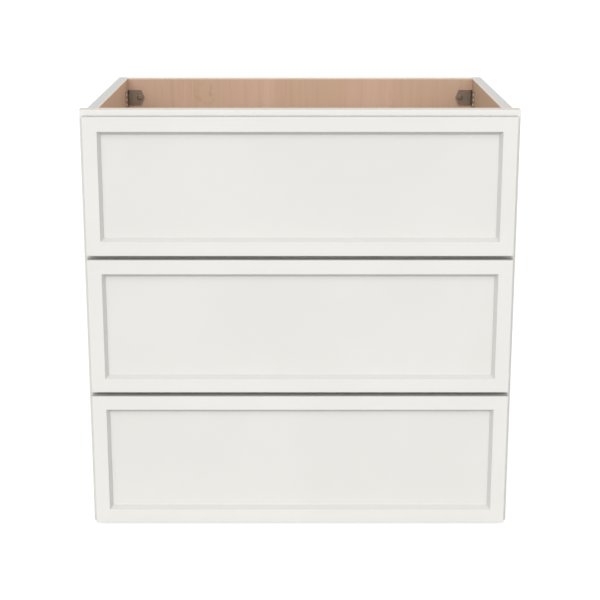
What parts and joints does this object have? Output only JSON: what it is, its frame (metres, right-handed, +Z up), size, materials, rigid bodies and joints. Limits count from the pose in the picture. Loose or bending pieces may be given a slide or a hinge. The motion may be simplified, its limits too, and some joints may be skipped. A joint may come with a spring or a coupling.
{
  "type": "vanity drawer base cabinet",
  "caption": "Framed bathroom vanity base with an open top and full-overlay shaker drawers of equal height on undermount slides.",
  "frame": {"origin": "on the floor, at the middle of the overall width and depth", "axes": "+X to the right seen from the front, +Y to the wall behind, +Z up; the drawers open along -Y"},
  "size_m": [0.762, 0.52, 0.762],
  "materials": {
    "white_paint": "satin sprayed paint",
    "case_side": "painted outside, maple-look laminate inside",
    "maple_laminate": "satin laminate",
    "drawer_maple": "clear satin lacquer",
    "bracket_steel": "bronze coloured plating",
    "screw_steel": "plated",
    "slide_steel": "zinc plated sheet",
    "socket_plastic": "moulded",
    "clip_plastic": "moulded",
    "lever_plastic": "moulded"
  },
  "bodies": {
    "case": {"side_panel_left": "case_side", "side_panel_right": "case_side", "back_panel": "maple_laminate", "floor_panel": "maple_laminate", "frame_stile_left": "white_paint", "frame_stile_right": "white_paint", "frame_top_rail": "white_paint", "frame_rail_upper": "white_paint", "frame_rail_lower": "white_paint", "frame_bottom_rail": "white_paint", "corner_bracket_left": "bracket_steel", "corner_bracket_right": "bracket_steel", "bracket_screws": "screw_steel", "bracket_back_screws": "bracket_steel", "slide_rear_sockets": "socket_plastic", "top_rail_pair": "slide_steel", "middle_rail_pair": "slide_steel", "bottom_rail_pair": "slide_steel"},
    "top_drawer": {"top_front_stile_left": "white_paint", "top_front_stile_right": "white_paint", "top_front_rail_top": "white_paint", "top_front_rail_bottom": "white_paint", "top_front_panel": "white_paint", "top_box_side_left": "drawer_maple", "top_box_side_right": "drawer_maple", "top_box_front": "drawer_maple", "top_box_back": "drawer_maple", "top_box_bottom": "drawer_maple", "top_runner_pair": "slide_steel", "top_clip_pair": "clip_plastic"},
    "top_carriages": {"top_carriage_pair": "slide_steel"},
    "top_levers": {"top_lever_pair": "lever_plastic"},
    "middle_drawer": {"middle_front_stile_left": "white_paint", "middle_front_stile_right": "white_paint", "middle_front_rail_top": "white_paint", "middle_front_rail_bottom": "white_paint", "middle_front_panel": "white_paint", "middle_box_side_left": "drawer_maple", "middle_box_side_right": "drawer_maple", "middle_box_front": "drawer_maple", "middle_box_back": "drawer_maple", "middle_box_bottom": "drawer_maple", "middle_runner_pair": "slide_steel", "middle_clip_pair": "clip_plastic"},
    "middle_carriages": {"middle_carriage_pair": "slide_steel"},
    "middle_levers": {"middle_lever_pair": "lever_plastic"},
    "bottom_drawer": {"bottom_front_stile_left": "white_paint", "bottom_front_stile_right": "white_paint", "bottom_front_rail_top": "white_paint", "bottom_front_rail_bottom": "white_paint", "bottom_front_panel": "white_paint", "bottom_box_side_left": "drawer_maple", "bottom_box_side_right": "drawer_maple", "bottom_box_front": "drawer_maple", "bottom_box_back": "drawer_maple", "bottom_box_bottom": "drawer_maple", "bottom_runner_pair": "slide_steel", "bottom_clip_pair": "clip_plastic"},
    "bottom_carriages": {"bottom_carriage_pair": "slide_steel"},
    "bottom_levers": {"bottom_lever_pair": "lever_plastic"}
  },
  "joints": [
    {"name": "top_drawer_slide", "type": "slide", "parent": "case", "child": "top_drawer", "axis": [0, -1, 0], "range_m": [0, 0.45]},
    {"name": "top_carriage_slide", "type": "slide", "parent": "case", "child": "top_carriages", "axis": [0, -1, 0], "range_m": [0, 0.225]},
    {"name": "top_lever_tip", "type": "hinge", "parent": "top_drawer", "child": "top_levers", "pos_m": [0, -0.1781, 0.5408], "axis": [-1, 0, 0], "range_deg": [0, 5], "stiffness_Nm_per_rad": 0.05},
    {"name": "middle_drawer_slide", "type": "slide", "parent": "case", "child": "middle_drawer", "axis": [0, -1, 0], "range_m": [0, 0.45]},
    {"name": "middle_carriage_slide", "type": "slide", "parent": "case", "child": "middle_carriages", "axis": [0, -1, 0], "range_m": [0, 0.225]},
    {"name": "middle_lever_tip", "type": "hinge", "parent": "middle_drawer", "child": "middle_levers", "pos_m": [0, -0.1781, 0.2891], "axis": [-1, 0, 0], "range_deg": [0, 5], "stiffness_Nm_per_rad": 0.05},
    {"name": "bottom_drawer_slide", "type": "slide", "parent": "case", "child": "bottom_drawer", "axis": [0, -1, 0], "range_m": [0, 0.45]},
    {"name": "bottom_carriage_slide", "type": "slide", "parent": "case", "child": "bottom_carriages", "axis": [0, -1, 0], "range_m": [0, 0.225]},
    {"name": "bottom_lever_tip", "type": "hinge", "parent": "bottom_drawer", "child": "bottom_levers", "pos_m": [0, -0.1781, 0.0556], "axis": [-1, 0, 0], "range_deg": [0, 5], "stiffness_Nm_per_rad": 0.05}
  ],
  "couplings": [
    {"joint": "top_carriage_slide", "follows": "top_drawer_slide", "ratio": 0.5},
    {"joint": "middle_carriage_slide", "follows": "middle_drawer_slide", "ratio": 0.5},
    {"joint": "bottom_carriage_slide", "follows": "bottom_drawer_slide", "ratio": 0.5}
  ]
}
